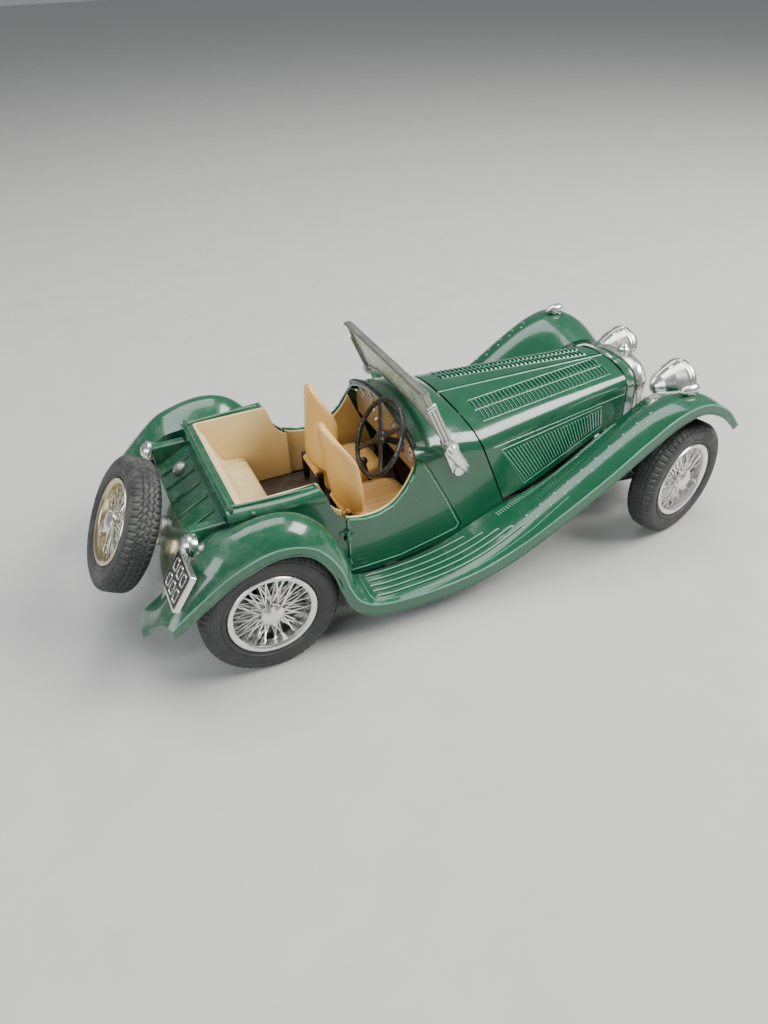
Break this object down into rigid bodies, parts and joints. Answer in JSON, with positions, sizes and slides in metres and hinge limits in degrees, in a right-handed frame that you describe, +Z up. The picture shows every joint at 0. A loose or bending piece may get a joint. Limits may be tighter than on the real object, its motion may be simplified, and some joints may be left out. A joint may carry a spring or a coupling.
{
  "type": "diecast roadster model",
  "caption": "Scale model of a pre-war open two-seater roadster with opening doors, folding windscreen, split bonnet, steering and wire wheels.",
  "frame": {"origin": "on the ground under the middle of the car's overall length and width", "axes": "+X towards the radiator, +Y the car's left side, +Z up"},
  "size_m": [0.2129, 0.0912, 0.0708],
  "materials": {
    "body_green": "glossy enamel",
    "hinge_green": "glossy enamel",
    "base_black": "satin black",
    "trim_cream": "satin cream",
    "seat_tan": "satin tan",
    "dash_tan": "satin",
    "dial_white": "printed white",
    "black_plastic": "gloss black",
    "chrome": "bright plated",
    "lens": "bright domed lens",
    "glass": "clear",
    "steel": "plain",
    "tyre": "moulded rubber",
    "engine_grey": "painted"
  },
  "bodies": {
    "chassis": {"chassis_frame": "base_black", "body_shell": "body_green", "wing_right": "body_green", "wing_left": "body_green", "fuel_tank": "body_green", "filler_cap": "chrome", "tail_lamps": "chrome", "number_plate": "dial_white", "number_plate_frame": "chrome", "cockpit_tub": "trim_cream", "rear_bench": "trim_cream", "dashboard": "dash_tan", "gauges": "dial_white", "steering_column": "black_plastic", "control_levers": "black_plastic", "pivot_pins": "steel", "windscreen_stanchions": "chrome", "windscreen_knobs": "chrome", "bonnet_hinge_rod": "hinge_green", "radiator_surround": "body_green", "radiator_shell": "chrome", "radiator_grille": "black_plastic", "radiator_cap": "chrome", "headlamp_lenses": "lens", "headlamp_right": "chrome", "headlamp_left": "chrome", "lamp_bar": "chrome", "horns": "chrome", "side_lamps": "chrome", "engine": "engine_grey", "front_axle": "base_black", "base_screws": "steel", "spare_carrier": "chrome", "spare_tyre": "tyre", "spare_wheel": "chrome", "seat_cushion_right": "seat_tan", "seat_cushion_left": "seat_tan"},
    "door_right": {"door_right": "body_green", "door_card_right": "trim_cream"},
    "door_left": {"door_left": "body_green", "door_card_left": "trim_cream"},
    "bonnet_right": {"bonnet_right": "body_green"},
    "bonnet_left": {"bonnet_left": "body_green"},
    "windscreen": {"windscreen_frame": "chrome", "windscreen_glass": "glass"},
    "seat_back_right": {"seat_back_right": "seat_tan"},
    "seat_back_left": {"seat_back_left": "seat_tan"},
    "steering_wheel": {"steering_wheel": "black_plastic"},
    "knuckle_right": {"knuckle_right": "base_black"},
    "knuckle_left": {"knuckle_left": "base_black"},
    "track_rod": {"track_rod": "base_black"},
    "front_wheel_right": {"wheel_front_right": "chrome", "tyre_front_right": "tyre"},
    "front_wheel_left": {"wheel_front_left": "chrome", "tyre_front_left": "tyre"},
    "rear_wheels": {"rear_axle": "steel", "wheel_rear_right": "chrome", "tyre_rear_right": "tyre", "wheel_rear_left": "chrome", "tyre_rear_left": "tyre"}
  },
  "joints": [
    {"name": "door_right_hinge", "type": "hinge", "parent": "chassis", "child": "door_right", "pos_m": [-0.03385, -0.0306, 0.026], "axis": [0, 0, -1], "range_deg": [0, 65]},
    {"name": "door_left_hinge", "type": "hinge", "parent": "chassis", "child": "door_left", "pos_m": [-0.03385, 0.0306, 0.026], "axis": [0, 0, 1], "range_deg": [0, 65]},
    {"name": "bonnet_right_hinge", "type": "hinge", "parent": "chassis", "child": "bonnet_right", "pos_m": [0.01175, 0, 0.05305], "axis": [-0.9998, 0, 0.0183], "range_deg": [0, 62]},
    {"name": "bonnet_left_hinge", "type": "hinge", "parent": "chassis", "child": "bonnet_left", "pos_m": [0.01175, 0, 0.05305], "axis": [0.9998, 0, -0.0183], "range_deg": [0, 62]},
    {"name": "windscreen_fold", "type": "hinge", "parent": "chassis", "child": "windscreen", "pos_m": [0.00075, 0, 0.0514], "axis": [0, 1, 0], "range_deg": [0, 50]},
    {"name": "seat_back_right_tilt", "type": "hinge", "parent": "chassis", "child": "seat_back_right", "pos_m": [-0.02885, -0.0126, 0.0295], "axis": [0, 1, 0], "range_deg": [-3, 7]},
    {"name": "seat_back_left_tilt", "type": "hinge", "parent": "chassis", "child": "seat_back_left", "pos_m": [-0.02885, 0.0126, 0.0295], "axis": [0, 1, 0], "range_deg": [-12, 28]},
    {"name": "steering_left", "type": "hinge", "parent": "chassis", "child": "knuckle_left", "pos_m": [0.08365, 0.0315, 0.0205], "axis": [0, 0, 1], "range_deg": [-34, 6]},
    {"name": "steering_right", "type": "hinge", "parent": "chassis", "child": "knuckle_right", "pos_m": [0.08365, -0.0315, 0.0205], "axis": [0, 0, 1], "range_deg": [-34, 6]},
    {"name": "track_rod_travel", "type": "slide", "parent": "chassis", "child": "track_rod", "axis": [0, 1, 0], "range_m": [-0.0009, 0.0042]},
    {"name": "steering_wheel_turn", "type": "hinge", "parent": "chassis", "child": "steering_wheel", "pos_m": [-0.01465, -0.0125, 0.05], "axis": [-0.878, 0, 0.4787], "range_deg": [-104, 20]},
    {"name": "front_wheel_right_spin", "type": "hinge", "parent": "knuckle_right", "child": "front_wheel_right", "pos_m": [0.08365, -0.0315, 0.0205], "axis": [-0.2419, 0.9703, 0], "continuous": true},
    {"name": "front_wheel_left_spin", "type": "hinge", "parent": "knuckle_left", "child": "front_wheel_left", "pos_m": [0.08365, 0.0315, 0.0205], "axis": [-0.2419, 0.9703, 0], "continuous": true},
    {"name": "rear_wheels_spin", "type": "hinge", "parent": "chassis", "child": "rear_wheels", "pos_m": [-0.06185, 0, 0.0205], "axis": [0, 1, 0], "continuous": true}
  ],
  "couplings": [
    {"joint": "steering_right", "follows": "steering_left", "ratio": 1},
    {"joint": "steering_wheel_turn", "follows": "steering_left", "ratio": 3},
    {"joint": "track_rod_travel", "follows": "steering_left", "m_per_rad": -0.0068}
  ]
}
